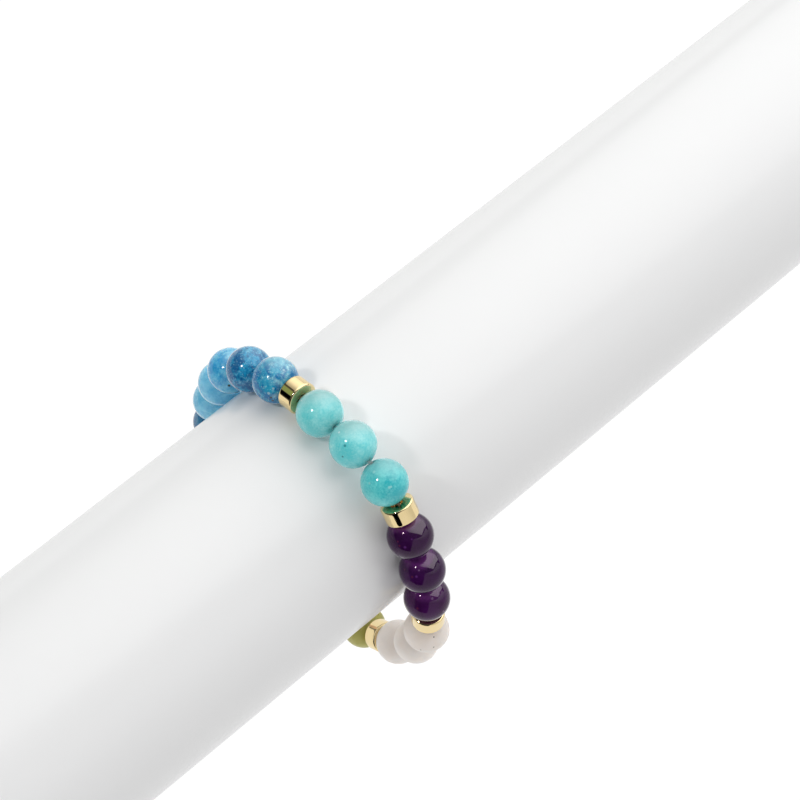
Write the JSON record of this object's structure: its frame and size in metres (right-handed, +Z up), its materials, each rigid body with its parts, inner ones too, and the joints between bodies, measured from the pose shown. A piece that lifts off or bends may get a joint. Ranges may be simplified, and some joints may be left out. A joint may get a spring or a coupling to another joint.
{
  "type": "gemstone bead bracelet on display cylinder",
  "caption": "Stretch bracelet of round polished stone beads in colour groups with gold drum spacers between them, hanging on a plain white display cylinder.",
  "frame": {"origin": "centre of the display cylinder's near end face, where a stand holds it", "axes": "+X along the cylinder's axis from its held end to its free end, +Z up, the bracelet's slack hanging towards -Z"},
  "size_m": [0.235, 0.0638, 0.0706],
  "materials": {
    "teal_stone": "polished, cloudy",
    "purple_stone": "polished, deep and slightly clear",
    "white_stone": "polished, milky",
    "olive_stone": "polished, slightly clear",
    "pink_stone": "polished, milky",
    "blue_stone": "polished, mottled",
    "gold": "mirror-polished gold plating",
    "cord": "clear elastic",
    "cylinder": "gloss white"
  },
  "bodies": {
    "root": {"teal_bead_1": "teal_stone", "teal_bead_2": "teal_stone", "teal_bead_3": "teal_stone", "purple_bead_1": "purple_stone", "purple_bead_2": "purple_stone", "purple_bead_3": "purple_stone", "white_bead_1": "white_stone", "white_bead_2": "white_stone", "white_bead_3": "white_stone", "olive_bead_1": "olive_stone", "olive_bead_2": "olive_stone", "olive_bead_3": "olive_stone", "pink_bead_1": "pink_stone", "pink_bead_2": "pink_stone", "pink_bead_3": "pink_stone", "blue_bead_1": "blue_stone", "blue_bead_2": "blue_stone", "blue_bead_3": "blue_stone", "blue_bead_4": "blue_stone", "blue_bead_5": "blue_stone", "blue_bead_6": "blue_stone", "gold_spacer_1": "gold", "gold_spacer_2": "gold", "gold_spacer_3": "gold", "gold_spacer_4": "gold", "gold_spacer_5": "gold", "gold_spacer_6": "gold", "elastic_cord": "cord", "display_cylinder": "cylinder"}
  },
  "joints": []
}
